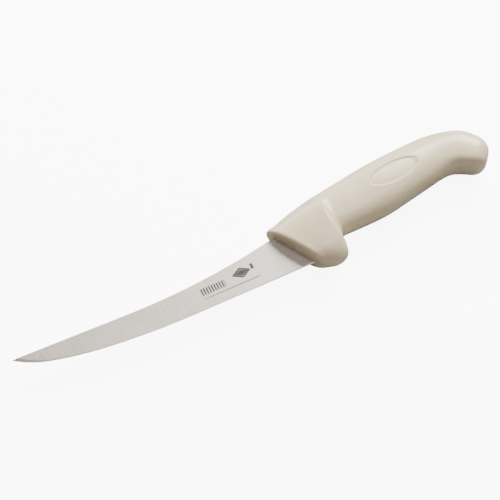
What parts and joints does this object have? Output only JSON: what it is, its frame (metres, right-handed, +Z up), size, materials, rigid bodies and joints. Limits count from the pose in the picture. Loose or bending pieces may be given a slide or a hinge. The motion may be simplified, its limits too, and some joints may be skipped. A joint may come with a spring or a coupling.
{
  "type": "boning knife",
  "caption": "Slim boning knife with a gently curved ground blade and a moulded handle that flares to a finger guard, hooks at the butt and has an oval recess on each side.",
  "frame": {"origin": "middle of the bounding box in plan, on the surface the knife lies on", "axes": "the knife lies on its right side; +X from the tip to the butt, +Y from the cutting edge to the spine, +Z up out of the left side of the blade"},
  "size_m": [0.2839, 0.0483, 0.0246],
  "materials": {
    "blade_steel": "satin",
    "handle_plastic": "satin"
  },
  "bodies": {
    "root": {"blade": "blade_steel", "handle": "handle_plastic"}
  },
  "joints": []
}
